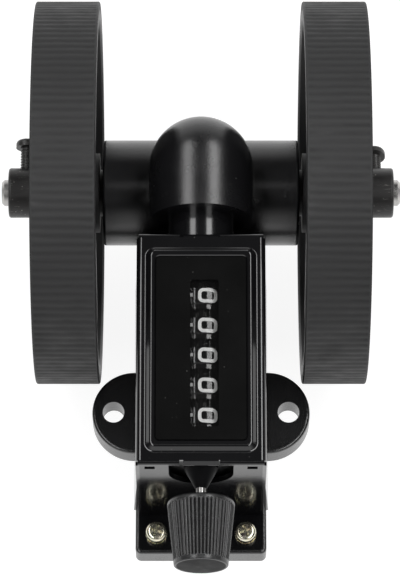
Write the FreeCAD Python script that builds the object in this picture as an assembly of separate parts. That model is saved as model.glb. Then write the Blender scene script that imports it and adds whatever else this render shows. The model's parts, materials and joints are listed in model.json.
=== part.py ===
import FreeCAD, Part
import math
import os

# A wheel-type cable length counter. X runs along the measuring wheels' axle, Y along the
# counter (reset knob at -Y) and Z up from the underside of the base. All values are in mm.

Vec = FreeCAD.Vector
os.makedirs("parts", exist_ok=True)

# General: cutters overshoot what they cut, joined solids lap, and turning pieces run free.
overshoot = 1.0
lap = 0.5
running = 0.04
tiny = 0.001

# Measuring wheels: three turns pass one metre of cable.
turns_per_metre = 3
wheel_r = 1000 / turns_per_metre / math.pi / 2
wheel_width = 17.5
wheel_gap = 1.0
tread_thickness = 2.3
tread_ribs = 143
rib_depth = 0.45
rib_foot_share = 0.30
rib_top_share = 0.24
tread_lip = 0.5
rim_thickness = 2.9
rim_chamfer = 0.5
web_thickness = 9.5
wheel_spokes = 6
spoke_thickness = 3.0
spoke_inset = 1.5
boss_r = 11.0
axle_r = 3.65
axle_overhang = 1.9
axle_chamfer = 0.7
washer_lip = 2.8
washer_gap = 0.05
hub_r = 6.9
hub_length = 7.8
hub_edge_r = 0.7
hub_sleeve_r = 5.4
hub_screw_in = 3.0
hub_screw_lift = 6.3
hub_head_r = 3.0
hub_screw_angles = {"left": 2.5, "right": -18.5}

# Gear train under the dome: crossed helical gears of one size, ratio set by the teeth.
axle_teeth = 6
gear_ratio = 3
gear_centres = 20.0
gear_addendum = 0.7
gear_dedendum = 1.1
gear_backlash = 0.5
pressure_angle = math.radians(20)
axle_gear_width = 8.0
shaft_gear_width = 6.0
gear_end_gap = 0.9
input_shaft_r = 3.0
shaft_back_y = 9.4
shaft_chamfer = 0.4
shaft_end_gap = 0.2
spacer_wall = 1.6
spacer_gap = 0.1

# Casting.
axle_z = 24.5
tube_r = 14.6
tube_half = 27.0
tube_bore_r = 12.0
tube_edge_r = 0.8
dome_r = 14.2
dome_bore_r = 11.8
dome_centre_y = -0.8
dome_face_y = -16.6
neck_r = 8.8
plug_length = 4.0
gusset_half = 3.0
gusset_toe = 1.0
gusset_in = 2.0
plate_half = 17.9
plate_thickness = 7.5
plate_front_y = -99.1
plate_back_y = 9.0
plate_corner_r = 1.6
plate_edge_r = 0.8
ear_r = 11.8
ear_x = 18.3
ear_y = -58.5
ear_hole_x = 24.2
ear_hole_r = 3.0
bush_length = 6.0
bush_groove_depth = 0.5
bush_land = 3.2
bush_rim = 2.0
input_bush_wall = 2.0

# Counter case.
case_front_y = -88.2
case_back_y = -24.4
sheet = 1.0
wall = 1.5
case_half = 17.3
case_top_z = 53.6
side_lip_z = 22.0
flap_bottom_z = 12.0
flap_flare = 1.0
roof_edge_r = 1.6
fold_inset = 0.5
tab_reach = 0.7
tab_drop = 1.6
tab_bend = 0.9
tab_inset = 0.6
middle_tab = (-4.7, 4.7)
left_slit = 1.0
right_slit = 0.3
border_side = 2.55
border_front = 2.8
border_back = 3.5
panel_rise = 1.4
panel_corner_r = 2.6
panel_slope = 1.3
panel_edge_r = 0.9
frame_side = 2.75
frame_end = 3.0
label_corner_r = 1.0
label_slope = 0.5
label_thickness = 0.4
label_depth = 0.6
window_x = 0.9
window_half = 3.75
window_reach = 3.7
window_corner_r = 0.6
lens_overlap = 0.6
notch_r = 8.6
slot_x = 13.6
slot_half = 1.35
slot_drop = 3.0
slot_height = 2.2
flange_front_y = -98.2
foot_inset = 1.0
foot_corner_r = 1.2

# Number wheels, units wheel first, and the transfer pinions under them.
digit_wheels = 5
units_y = -41.2
digit_pitch = 8.45
drum_r = 9.4
drum_width = 4.7
drum_chamfer = 0.2
ring_r = 8.9
ring_width = 1.25
carry_gap_half = 2.2
carry_gap_depth = 1.6
carry_gap_floor = 0.3
carry_tooth_x = 1.0
carry_tooth_half = 0.4
carry_tooth_inset = 0.3
carry_tooth_depth = 2.5
carry_teeth = 20
carry_dedendum = 0.8
carry_addendum = 0.5
pinion_teeth = 8
pinion_dedendum = 0.75
pinion_addendum = 0.55
pinion_centres = 11.0
pinion_hub_r = 1.9
pinion_gap = 0.15
carry_backlash = 0.14
pinion_shaft_r = 1.0
reset_shaft_r = 1.35

# The dog that drives the units wheel from the input shaft.
dog_r = 5.0
dog_gap = 0.7
dog_seat = 2.8
dog_pin_r = 0.8
dog_pin_x = 3.2
dog_pin_length = 1.5
reset_bore = 5.0
reset_end_gap = 0.4

# Inner frame and the conical bush of the reset shaft.
frame_thickness = 1.2
frame_half = 15.0
frame_top_gap = 0.6
frame_front_gap = 1.1
frame_back_gap = 2.4
tie_r = 1.6
tie_x = 12.4
tie_z = 20.0
cone_reach = 4.2
cone_length = 5.4
cone_tip_r = 2.0
cone_r = 4.3
bush_neck_r = 2.6
bush_nose_r = 2.2
bush_nose_gap = 0.1

# Reset knob.
knob_back_y = -97.2
knob_length = 16.5
knob_back_r = 8.95
knob_end_r = 7.5
knob_end_edge_r = 0.6
knob_back_edge_r = 0.9
knob_ribs = 48
knob_rib_depth = 0.35
knob_rib_foot_share = 0.30
knob_rib_top_share = 0.14
knob_rib_start = 0.9
knob_shoulder = 1.4
knob_floor = 3.0
knob_screw_in = 4.0
grub_r = 1.0
grub_recess = 1.6

# Screws and washers.
ledge_screw_in = 5.7
ledge_screw_y = -93.7
screw_r = 1.5
screw_slack = 0.1
screw_tip_z = 1.0
head_r = 2.85
head_height = 2.2
head_edge_r = 1.15
cross_half = 1.7
cross_width = 0.7
cross_depth = 1.15
flat_washer_thickness = 0.5
spring_washer_thickness = 0.75
spring_washer_split = 0.5
split_turn = -60
ledge_screw_turn = 20

# What follows from these.
case_z = plate_thickness
floor_z = plate_thickness - sheet
shaft_z = axle_z + gear_centres
pinion_z = shaft_z - pinion_centres
wheel_inner_x = tube_half + wheel_gap
wheel_outer_x = wheel_inner_x + wheel_width
hub_end_x = wheel_outer_x + hub_length
axle_end_x = hub_end_x + axle_overhang
rim_r = wheel_r - tread_thickness
case_roof_z = case_top_z + sheet
panel_z = case_roof_z + panel_rise
label_z = panel_z - label_depth
fold_front_y = case_front_y + fold_inset
fold_back_y = case_back_y - fold_inset
panel_half = case_half - border_side
panel_front_y = case_front_y + border_front
panel_back_y = case_back_y - border_back
label_half = panel_half - frame_side
label_front_y = panel_front_y + frame_end
label_back_y = panel_back_y - frame_end
input_bush_r = input_shaft_r + input_bush_wall
reset_hole_r = reset_shaft_r + running
plug_y = dome_face_y + plug_length
frame_front_y = case_front_y + wall + frame_front_gap
frame_back_y = case_back_y - wall - frame_back_gap
dog_back_y = frame_back_y - frame_thickness - dog_gap
dog_front_y = units_y + drum_width / 2
input_end_y = dog_back_y - dog_seat
reset_end_y = input_end_y + reset_bore - reset_end_gap
knob_end_y = knob_back_y - knob_length
ledge_screw_x = plate_half - ledge_screw_in


def save(name, shape):
    shape.exportStep("parts/" + name + ".step")


def block(x0, x1, y0, y1, z0, z1):
    return Part.makeBox(x1 - x0, y1 - y0, z1 - z0, Vec(x0, y0, z0))


def rod_x(radius, x0, x1, y=0.0, z=axle_z):
    return Part.makeCylinder(radius, x1 - x0, Vec(x0, y, z), Vec(1, 0, 0))


def rod_y(radius, y0, y1, x=0.0, z=shaft_z):
    return Part.makeCylinder(radius, y1 - y0, Vec(x, y0, z), Vec(0, 1, 0))


def rod_z(radius, x, y, z0, z1):
    return Part.makeCylinder(radius, z1 - z0, Vec(x, y, z0), Vec(0, 0, 1))


def edges_at(shape, axis, value):
    # Edges that lie wholly in the plane where the given axis has this value.
    found = []
    for edge in shape.Edges:
        box = edge.BoundBox
        low = getattr(box, axis + "Min")
        high = getattr(box, axis + "Max")
        if abs(low - value) < tiny and abs(high - value) < tiny:
            found.append(edge)
    return found


def upright(edge):
    a, b = edge.Vertexes[0], edge.Vertexes[-1]
    return abs(a.X - b.X) < tiny and abs(a.Y - b.Y) < tiny


def round_slab(x0, x1, y0, y1, z0, z1, corner):
    # A block whose four upright edges are rounded.
    slab = block(x0, x1, y0, y1, z0, z1)
    return slab.makeFillet(corner, [e for e in slab.Edges if upright(e)])


def sloped_slab(half, y0, y1, z0, z1, corner, slope):
    # A round-cornered slab whose sides lean in by the slope on the way up.
    outlines = []
    for inset, z in ((0, z0), (slope, z1)):
        level = round_slab(inset - half, half - inset, y0 + inset, y1 - inset, z, z + 1, corner - inset)
        floor = [f for f in level.Faces if f.BoundBox.ZMax < z + tiny]
        outlines.append(floor[0].OuterWire)
    return Part.makeLoft(outlines, True, True)


def sided(name, shape, side):
    # Pieces are drawn on the right (+X) and mirrored for the left.
    if side == "left":
        shape = shape.mirror(Vec(0, 0, 0), Vec(1, 0, 0))
    save(name + "_" + side, shape)


def tooth_outline(teeth, radii, half_angle, start):
    # Flank points of every tooth, root to tip and back, around the pitch centre.
    points = []
    for k in range(teeth):
        centre = start + 2 * math.pi * k / teeth
        for r in radii:
            a = centre - half_angle(r)
            points.append((r * math.cos(a), r * math.sin(a)))
        for r in reversed(radii):
            a = centre + half_angle(r)
            points.append((r * math.cos(a), r * math.sin(a)))
    return points


def closed_wire(points, turn, place):
    c = math.cos(turn)
    s = math.sin(turn)
    corners = [Vec(*place(u * c - v * s, u * s + v * c)) for u, v in points]
    return Part.makePolygon(corners + [corners[0]])


def flank_radii(pitch_r, dedendum, addendum):
    return [pitch_r - dedendum, pitch_r - dedendum / 3, pitch_r + addendum / 3, pitch_r + addendum]


def involute(angle):
    return math.tan(angle) - angle


def involute_half(teeth, pitch_r, backlash):
    base_r = pitch_r * math.cos(pressure_angle)
    at_pitch = math.pi / (2 * teeth) - backlash / (2 * pitch_r)

    def half(r):
        a = math.acos(min(1.0, base_r / r))
        return at_pitch + involute(pressure_angle) - involute(a)
    return half


def pan_screw(radius, tip, seat, turn):
    # A pan-head screw along Z: the shank starts at the tip, and the head stands on the seat.
    top = seat + head_height
    head = rod_z(radius, 0, 0, seat, top)
    head = head.makeFillet(head_edge_r, edges_at(head, "Z", top))
    for quarter in (0, 90):
        arm = block(-cross_half, cross_half, -cross_width / 2, cross_width / 2, top - cross_depth,
                    top + overshoot)
        arm.rotate(Vec(0, 0, 0), Vec(0, 0, 1), turn + quarter)
        head = head.cut(arm)
    return head.fuse(rod_z(screw_r, 0, 0, tip, seat)).removeSplitter()


def tray_floor(top):
    # The tray's floor and its foot, which lie flush in a seat in the plate.
    inner = case_half - sheet
    half = plate_half - foot_inset
    floor = block(-inner, inner, case_front_y, case_back_y, floor_z, top)
    foot = round_slab(-half, half, flange_front_y, case_front_y + wall, floor_z, top, foot_corner_r)
    return floor.fuse(foot)


def base_casting():
    body = round_slab(-plate_half, plate_half, plate_front_y, plate_back_y, 0, plate_thickness,
                      plate_corner_r)
    for side in (-1, 1):
        body = body.fuse(rod_z(ear_r, side * ear_x, ear_y, 0, plate_thickness))
    body = body.removeSplitter()
    body = body.makeFillet(plate_edge_r, edges_at(body, "Z", plate_thickness))
    tube = rod_x(tube_r, -tube_half, tube_half)
    rims = edges_at(tube, "X", tube_half) + edges_at(tube, "X", -tube_half)
    tube = tube.makeFillet(tube_edge_r, rims)
    dome = rod_y(dome_r, dome_face_y, dome_centre_y)
    dome = dome.fuse(Part.makeSphere(dome_r, Vec(0, dome_centre_y, shaft_z)))
    # The saddle carries the tube on the plate; a gusset braces it towards the counter.
    foot_z = plate_thickness - lap
    saddle = block(-tube_r, tube_r, -plate_back_y, plate_back_y, foot_z, axle_z - tube_bore_r)
    toe_y = case_back_y + gusset_toe
    root_y = gusset_in - tube_r
    corners = [Vec(-gusset_half, root_y, foot_z), Vec(-gusset_half, toe_y, foot_z),
               Vec(-gusset_half, toe_y, plate_thickness + gusset_toe), Vec(-gusset_half, root_y, axle_z)]
    gusset = Part.Face(Part.makePolygon(corners + [corners[0]])).extrude(Vec(2 * gusset_half, 0, 0))
    body = body.fuse([tube, dome, saddle, gusset])
    bores = [rod_x(tube_bore_r, -tube_half - overshoot, tube_half + overshoot)]
    bores.append(tray_floor(case_z + overshoot))
    bores.append(rod_y(dome_bore_r, dome_face_y - overshoot, shaft_gear_width / 2 + gear_end_gap))
    bores.append(rod_y(input_shaft_r + running, 0, shaft_back_y + shaft_end_gap))
    top = plate_thickness + overshoot
    for side in (-1, 1):
        bores.append(rod_z(ear_hole_r, side * ear_hole_x, ear_y, -overshoot, top))
        bores.append(rod_z(screw_r, side * ledge_screw_x, ledge_screw_y, screw_tip_z, top))
    save("base_casting", body.cut(bores).removeSplitter())


def bearings():
    inner_x = tube_half - bush_length
    bush = rod_x(tube_bore_r, inner_x, tube_half)
    bush = bush.cut(rod_x(axle_r + running, inner_x - overshoot, tube_half + overshoot))
    # A shallow face groove separates the running face from the pressed rim.
    groove_x = tube_half - bush_groove_depth
    groove = rod_x(tube_bore_r - bush_rim, groove_x, tube_half + overshoot)
    groove = groove.cut(rod_x(axle_r + bush_land, groove_x - overshoot, tube_half + 2 * overshoot))
    for side in ("left", "right"):
        sided("axle_bush", bush.cut(groove), side)
    sleeve = rod_y(dome_bore_r, dome_face_y, plug_y).fuse(rod_y(neck_r, case_back_y, dome_face_y))
    sleeve = sleeve.cut(rod_y(input_bush_r, case_back_y - overshoot, plug_y + overshoot))
    save("neck_sleeve", sleeve)
    bush = rod_y(input_bush_r, case_back_y - wall, plug_y)
    bush = bush.cut(rod_y(input_shaft_r + running, case_back_y - wall - overshoot, plug_y + overshoot))
    save("input_bush", bush)


def spokes(x0, x1):
    # Radial stiffening ribs between the boss and the rim.
    ribs = []
    for k in range(wheel_spokes):
        rib = block(x0, x1, boss_r - lap, rim_r - rim_thickness + lap, -spoke_thickness / 2,
                    spoke_thickness / 2)
        rib.rotate(Vec(0, 0, 0), Vec(1, 0, 0), 360 * k / wheel_spokes)
        rib.translate(Vec(0, 0, axle_z))
        ribs.append(rib)
    return ribs


def wheel_solid():
    bore_start = wheel_inner_x - overshoot
    bore_end = wheel_outer_x + overshoot
    rim = rod_x(rim_r, wheel_inner_x, wheel_outer_x)
    rim = rim.cut(rod_x(rim_r - rim_thickness, bore_start, bore_end))
    # Only the inner edges of the rim are broken, because the tread covers the outer ones.
    inner_edges = [e for e in edges_at(rim, "X", wheel_inner_x) + edges_at(rim, "X", wheel_outer_x)
                   if e.BoundBox.ZLength < 2 * rim_r - rim_thickness]
    rim = rim.makeChamfer(rim_chamfer, inner_edges)
    middle = (wheel_inner_x + wheel_outer_x) / 2
    web = rod_x(rim_r - rim_thickness + lap, middle - web_thickness / 2, middle + web_thickness / 2)
    boss = rod_x(boss_r, wheel_inner_x, wheel_outer_x)
    wheel = rim.fuse([web, boss] + spokes(wheel_inner_x + spoke_inset, wheel_outer_x - spoke_inset))
    return wheel.cut(rod_x(hub_sleeve_r, bore_start, bore_end)).removeSplitter()


def tread_solid():
    groove_r = wheel_r - rib_depth
    step = 2 * math.pi / tread_ribs

    def rib_half(r):
        return step * (rib_foot_share if r < wheel_r - rib_depth / 2 else rib_top_share)
    outline = tooth_outline(tread_ribs, [groove_r, wheel_r], rib_half, math.pi / 2)
    start_x = wheel_inner_x + tread_lip
    end_x = wheel_outer_x - tread_lip
    ribbed = closed_wire(outline, 0, lambda u, v: (start_x, u, v + axle_z))
    tread = Part.Face(ribbed).extrude(Vec(end_x - start_x, 0, 0))
    # The grooves stop short of both edges, which are full height all round.
    lips = [rod_x(wheel_r, wheel_inner_x, start_x), rod_x(wheel_r, end_x, wheel_outer_x)]
    bore = rod_x(rim_r, wheel_inner_x - overshoot, wheel_outer_x + overshoot)
    return tread.fuse(lips).cut(bore).removeSplitter()


def hub_solid():
    hub = rod_x(hub_r, wheel_outer_x, hub_end_x)
    hub = hub.makeFillet(hub_edge_r, edges_at(hub, "X", hub_end_x))
    hub = hub.fuse(rod_x(hub_sleeve_r, wheel_inner_x, wheel_outer_x))
    return hub.cut(rod_x(axle_r, wheel_inner_x - overshoot, hub_end_x + overshoot))


def wheels():
    wheel = wheel_solid()
    tread = tread_solid()
    hub = hub_solid()
    washer = rod_x(axle_r + washer_lip, tube_half + washer_gap, wheel_inner_x)
    washer = washer.cut(rod_x(axle_r, tube_half, wheel_inner_x + overshoot))
    screw_x = wheel_outer_x + hub_screw_in
    for side in ("left", "right"):
        hole = rod_z(screw_r, 0, 0, 0, hub_r + overshoot)
        screw = pan_screw(hub_head_r, 0, hub_r + hub_screw_lift, 0)
        for shape in (hole, screw):
            # Both are drawn standing up, then laid towards +Y at the hub's own angle.
            shape.rotate(Vec(0, 0, 0), Vec(1, 0, 0), hub_screw_angles[side] - 90)
            shape.translate(Vec(screw_x, 0, axle_z))
        # The shank's end is shaped to the axle it bears on.
        screw = screw.cut(rod_x(axle_r, wheel_outer_x, hub_end_x)).removeSplitter()
        sided("wheel", wheel, side)
        sided("tread", tread, side)
        sided("hub", hub.cut(hole), side)
        sided("hub_screw", screw, side)
        sided("thrust_washer", washer, side)


def axle_and_gears():
    axle = rod_x(axle_r, -axle_end_x, axle_end_x)
    ends = edges_at(axle, "X", axle_end_x) + edges_at(axle, "X", -axle_end_x)
    save("axle", axle.makeChamfer(axle_chamfer, ends))
    pitch_r = gear_centres / 2
    # Equal pitch circles follow when the helix angle's tangent is the ratio.
    helix = math.atan(gear_ratio)
    lead = 2 * math.pi * pitch_r / math.tan(helix)
    thread_pitch = lead / axle_teeth
    radii = flank_radii(pitch_r, gear_dedendum, gear_addendum)

    def thread_half(r):
        width = thread_pitch / 4 - (r - pitch_r) * math.tan(pressure_angle) - gear_backlash / 2
        return width * 2 * math.pi / lead
    outline = tooth_outline(axle_teeth, [radii[0], pitch_r, radii[-1]], thread_half, math.pi / 2)
    # Sections every few degrees keep the loft close to a true helix.
    spans = 8
    sections = []
    for i in range(spans + 1):
        x = axle_gear_width * (i / spans - 0.5)
        sections.append(closed_wire(outline, 2 * math.pi * x / lead, lambda u, v: (x, u, v + axle_z)))
    gear = Part.makeLoft(sections, True, True)
    save("axle_gear", gear.cut(rod_x(axle_r, -axle_gear_width, axle_gear_width)))
    shaft_teeth = axle_teeth * gear_ratio
    half = involute_half(shaft_teeth, pitch_r, gear_backlash)
    outline = tooth_outline(shaft_teeth, radii, half, -math.pi / 2 + math.pi / shaft_teeth)
    sections = []
    for share in (-0.5, 0, 0.5):
        y = shaft_gear_width * share
        turn = -y / math.tan(helix) / pitch_r
        sections.append(closed_wire(outline, turn, lambda u, v: (u, y, v + shaft_z)))
    gear = Part.makeLoft(sections, True, True)
    save("shaft_gear", gear.cut(rod_y(input_shaft_r, -shaft_gear_width, shaft_gear_width)))
    spacer = rod_y(input_shaft_r + spacer_wall, plug_y + spacer_gap, -shaft_gear_width / 2)
    save("shaft_spacer", spacer.cut(rod_y(input_shaft_r, plug_y, 0)))


def input_line():
    shaft = rod_y(input_shaft_r, input_end_y, shaft_back_y)
    shaft = shaft.makeChamfer(shaft_chamfer, edges_at(shaft, "Y", shaft_back_y))
    shaft = shaft.cut(rod_y(reset_hole_r, input_end_y - overshoot, input_end_y + reset_bore))
    save("input_shaft", shaft)
    dog = rod_y(dog_r, dog_front_y, dog_back_y)
    dog = dog.cut(rod_y(input_shaft_r, input_end_y, dog_back_y + overshoot))
    dog = dog.cut(rod_y(reset_hole_r, dog_front_y - overshoot, input_end_y + overshoot))
    for side in (-1, 1):
        dog = dog.fuse(rod_y(dog_pin_r, dog_front_y - dog_pin_length, dog_front_y + lap, side * dog_pin_x))
    save("drive_dog", dog)


def digit_y(place):
    return units_y - place * digit_pitch


def number_wheel(place, toothed):
    centre = digit_y(place)
    front = centre - drum_width / 2
    back = centre + drum_width / 2
    drum = rod_y(drum_r, front, back)
    drum = drum.makeChamfer(drum_chamfer, edges_at(drum, "Y", front) + edges_at(drum, "Y", back))
    # The locking ring faces the next wheel and holds the two carry teeth in a gap.
    bottom = shaft_z - ring_r
    ring = rod_y(ring_r, front - ring_width, front)
    ring = ring.cut(block(-carry_gap_half, carry_gap_half, front - ring_width - overshoot,
                          front - carry_gap_floor, bottom - overshoot, bottom + carry_gap_depth))
    for side in (-1, 1):
        x = side * carry_tooth_x
        ring = ring.fuse(block(x - carry_tooth_half, x + carry_tooth_half, front - ring_width, front,
                               bottom + carry_tooth_inset, bottom + carry_tooth_depth))
    wheel = drum.fuse(ring)
    if place == 0:
        # The units wheel has no gear: the drive dog's pins turn it.
        for side in (-1, 1):
            wheel = wheel.cut(rod_y(dog_pin_r + running, back - dog_pin_length, back + overshoot,
                                    side * dog_pin_x))
    else:
        width = digit_pitch - drum_width - ring_width - washer_gap
        wire = closed_wire(toothed, 0, lambda u, v: (u, back, v + shaft_z))
        wheel = wheel.fuse(Part.Face(wire).extrude(Vec(0, width, 0)))
    bore = rod_y(reset_hole_r, front - ring_width - overshoot, back + digit_pitch)
    return wheel.cut(bore).removeSplitter()


def transfer_pinion(place, toothed):
    # The pinion works in the space between this wheel's ring and the next drum.
    front = digit_y(place) - drum_width / 2
    toothed_front = front - digit_pitch + drum_width + pinion_gap
    toothed_back = front - ring_width - pinion_gap
    wire = closed_wire(toothed, 0, lambda u, v: (u, toothed_front, v + pinion_z))
    pinion = Part.Face(wire).extrude(Vec(0, toothed_back - toothed_front, 0))
    pinion = pinion.fuse(rod_y(pinion_hub_r, toothed_back, front - pinion_gap, 0, pinion_z))
    bore = rod_y(pinion_shaft_r + running, toothed_front - overshoot, front + overshoot, 0, pinion_z)
    return pinion.cut(bore).removeSplitter()


def number_wheels():
    pitch_r = pinion_centres * carry_teeth / (carry_teeth + pinion_teeth)
    small_r = pinion_centres - pitch_r
    wheel_outline = tooth_outline(carry_teeth, flank_radii(pitch_r, carry_dedendum, carry_addendum),
                                  involute_half(carry_teeth, pitch_r, carry_backlash), -math.pi / 2)
    small_outline = tooth_outline(pinion_teeth, flank_radii(small_r, pinion_dedendum, pinion_addendum),
                                  involute_half(pinion_teeth, small_r, carry_backlash),
                                  math.pi / 2 + math.pi / pinion_teeth)
    for place in range(digit_wheels):
        save("number_wheel_" + str(place + 1), number_wheel(place, wheel_outline))
    for place in range(digit_wheels - 1):
        save("pinion_" + str(place + 1), transfer_pinion(place, small_outline))


def inner_frame():
    back_plate_y = frame_back_y - frame_thickness
    shaft_holes = {"frame_plate_front": (frame_front_y, bush_neck_r),
                   "frame_plate_back": (back_plate_y, input_shaft_r + running)}
    for name, (y, hole_r) in shaft_holes.items():
        end_y = y + frame_thickness
        plate = block(-frame_half, frame_half, y, end_y, case_z, case_top_z - frame_top_gap)
        plate = plate.cut(rod_y(pinion_shaft_r, y - overshoot, end_y + overshoot, 0, pinion_z))
        save(name, plate.cut(rod_y(hole_r, y - overshoot, end_y + overshoot)))
    for side in ("left", "right"):
        tie = rod_y(tie_r, frame_front_y + frame_thickness, back_plate_y, tie_x, tie_z)
        sided("frame_tie", tie, side)
    save("pinion_shaft", rod_y(pinion_shaft_r, frame_front_y, frame_back_y, 0, pinion_z))
    # The bush stands through the front plate as a cone in the case's notch.
    tip_y = case_front_y - cone_reach
    bush = Part.makeCone(cone_tip_r, cone_r, cone_length, Vec(0, tip_y, shaft_z), Vec(0, 1, 0))
    bush = bush.fuse(rod_y(cone_r, tip_y + cone_length, frame_front_y))
    bush = bush.fuse(rod_y(bush_neck_r, frame_front_y, frame_front_y + frame_thickness))
    last_ring_y = digit_y(digit_wheels - 1) - drum_width / 2 - ring_width
    bush = bush.fuse(rod_y(bush_nose_r, frame_front_y + frame_thickness, last_ring_y - bush_nose_gap))
    bore = rod_y(reset_hole_r, tip_y - overshoot, last_ring_y)
    save("reset_bush", bush.cut(bore).removeSplitter())


def counter_tray():
    inner = case_half - sheet
    front = block(-inner, inner, case_front_y, case_front_y + wall, floor_z, case_top_z)
    back = block(-inner, inner, case_back_y - wall, case_back_y, floor_z, case_top_z)
    tray = tray_floor(case_z).fuse([front, back])
    for side in (-1, 1):
        edges = sorted((side * inner, side * (inner - sheet)))
        tray = tray.fuse(block(edges[0], edges[1], case_front_y, case_back_y, floor_z, side_lip_z))
    # The notch in the front wall is open to the top.
    cut_front = case_front_y - overshoot
    cut_back = case_front_y + wall + overshoot
    cuts = [rod_y(notch_r, cut_front, cut_back)]
    cuts.append(block(-notch_r, notch_r, cut_front, cut_back, shaft_z, case_top_z + overshoot))
    cuts.append(rod_y(input_bush_r, case_back_y - wall - overshoot, case_back_y + overshoot))
    slot_top_z = case_top_z - slot_drop
    for side in (-1, 1):
        x = side * slot_x
        cuts.append(block(x - slot_half, x + slot_half, cut_front, cut_back, slot_top_z - slot_height,
                          slot_top_z))
        cuts.append(rod_z(screw_r + screw_slack, side * ledge_screw_x, ledge_screw_y, 0,
                          case_z + overshoot))
    save("counter_tray", tray.cut(cuts).removeSplitter())


def cover_flap(side):
    # A side of the cover: straight down to half height, then spreading a little.
    roof_foot_z = case_roof_z - 2 * roof_edge_r
    middle_z = (case_top_z + flap_bottom_z) / 2
    section = [(case_half - sheet, roof_foot_z), (case_half, roof_foot_z), (case_half, middle_z),
               (case_half + flap_flare, flap_bottom_z), (case_half + flap_flare - sheet, flap_bottom_z),
               (case_half - sheet, middle_z)]
    corners = [Vec(side * x, case_front_y, z) for x, z in section]
    flap = Part.Face(Part.makePolygon(corners + [corners[0]]))
    return flap.extrude(Vec(0, case_back_y - case_front_y, 0))


def cover_tabs():
    # Three short tabs turn down over each end wall. The middle ones clear the notch and the neck.
    outer = case_half - tab_inset
    spans = ((-outer, middle_tab[0] - left_slit), middle_tab, (middle_tab[1] + right_slit, outer))
    folds = ((fold_front_y, case_front_y - tab_reach), (fold_back_y, case_back_y + tab_reach))
    tabs = []
    for x0, x1 in spans:
        for fold_y, end_y in folds:
            tab = block(x0, x1, min(fold_y, end_y), max(fold_y, end_y), case_top_z, case_roof_z)
            bend = [e for e in edges_at(tab, "Y", end_y) if e.BoundBox.ZMin > case_roof_z - tiny]
            if (x0, x1) == middle_tab:
                tabs.append(tab.makeChamfer(tab_bend, bend))
            else:
                tabs.append(tab.makeFillet(tab_bend, bend))
        if (x0, x1) != middle_tab:
            tabs.append(block(x0, x1, case_back_y, case_back_y + tab_reach, case_top_z - tab_drop,
                              case_top_z))
    return tabs


def counter_cover():
    inner = case_half - sheet
    roof = block(-case_half, case_half, fold_front_y, fold_back_y, case_roof_z - 2 * roof_edge_r,
                 case_roof_z)
    long_edges = [e for e in edges_at(roof, "Z", case_roof_z) if e.BoundBox.XLength < tiny]
    roof = roof.makeFillet(roof_edge_r, long_edges)
    roof = roof.cut(block(-inner, inner, fold_front_y - overshoot, fold_back_y + overshoot, 0, case_top_z))
    # The pressed panel stands up from the roof; its edge and its foot are slightly round.
    panel = sloped_slab(panel_half, panel_front_y, panel_back_y, case_roof_z, panel_z, panel_corner_r,
                        panel_slope)
    panel = panel.makeFillet(panel_edge_r, edges_at(panel, "Z", panel_z))
    cover = roof.fuse(panel).removeSplitter()
    foot = [e for e in edges_at(cover, "Z", case_roof_z)
            if e.BoundBox.XMax < panel_half + tiny and e.BoundBox.XMin > -panel_half - tiny
            and e.BoundBox.YMin > panel_front_y - tiny and e.BoundBox.YMax < panel_back_y + tiny]
    cover = cover.makeFillet(panel_edge_r, foot)
    cover = cover.fuse([cover_flap(-1), cover_flap(1)] + cover_tabs())
    # The label lies in a recess whose walls lean outwards; the window is cut through its floor.
    recess = sloped_slab(label_half, label_front_y, label_back_y, label_z, panel_z + tiny, label_corner_r,
                         -label_slope)
    cover = cover.cut([recess, window_block(lens_overlap, case_roof_z, label_z + overshoot),
                       window_block(0, case_top_z - overshoot, case_roof_z + overshoot)])
    save("counter_cover", cover.removeSplitter())
    label = round_slab(-label_half, label_half, label_front_y, label_back_y, label_z,
                       label_z + label_thickness, label_corner_r)
    slot = window_block(0, label_z - overshoot, panel_z)
    slot = slot.makeFillet(window_corner_r, [e for e in slot.Edges if upright(e)])
    save("label_plate", label.cut(slot))
    save("window_lens", window_block(lens_overlap, case_roof_z, label_z))


def window_block(margin, z0, z1):
    # The window spans the row of figures, and the lens is larger by the margin all round.
    front = digit_y(digit_wheels - 1) - window_reach
    back = digit_y(0) + window_reach
    return block(window_x - window_half - margin, window_x + window_half + margin, front - margin,
                 back + margin, z0, z1)


def knob():
    core = Part.makeCone(knob_end_r - knob_rib_depth, knob_back_r - knob_rib_depth, knob_length,
                         Vec(0, knob_end_y, shaft_z), Vec(0, 1, 0))
    core = core.makeFillet(knob_end_edge_r, edges_at(core, "Y", knob_end_y))
    taper = (knob_back_r - knob_end_r) / knob_length
    step = 2 * math.pi / knob_ribs
    sections = []
    for y in (knob_end_y + knob_rib_start, knob_back_y - knob_shoulder + tiny):
        outer = knob_end_r + taper * (y - knob_end_y)

        def rib_half(r):
            return step * (knob_rib_foot_share if r < outer - knob_rib_depth / 2 else knob_rib_top_share)
        outline = tooth_outline(knob_ribs, [outer - knob_rib_depth, outer], rib_half, math.pi / 2)
        sections.append(closed_wire(outline, 0, lambda u, v: (u, y, v + shaft_z)))
    ribs = Part.makeLoft(sections, True, True)
    shoulder = rod_y(knob_back_r, knob_back_y - knob_shoulder, knob_back_y)
    shoulder = shoulder.makeFillet(knob_back_edge_r, edges_at(shoulder, "Y", knob_back_y))
    screw_y = knob_back_y - knob_screw_in
    shaft_start_y = knob_end_y + knob_floor
    bores = [rod_y(reset_shaft_r, shaft_start_y, knob_back_y + overshoot)]
    bores.append(rod_z(grub_r, 0, screw_y, shaft_z - knob_back_r - overshoot, shaft_z))
    save("reset_knob", core.fuse([ribs, shoulder]).cut(bores).removeSplitter())
    save("reset_shaft", rod_y(reset_shaft_r, shaft_start_y, reset_end_y))
    grub = rod_z(grub_r, 0, screw_y, shaft_z - knob_back_r + grub_recess, shaft_z)
    save("knob_screw", grub.cut(rod_y(reset_shaft_r, shaft_start_y, knob_back_y)))


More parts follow.
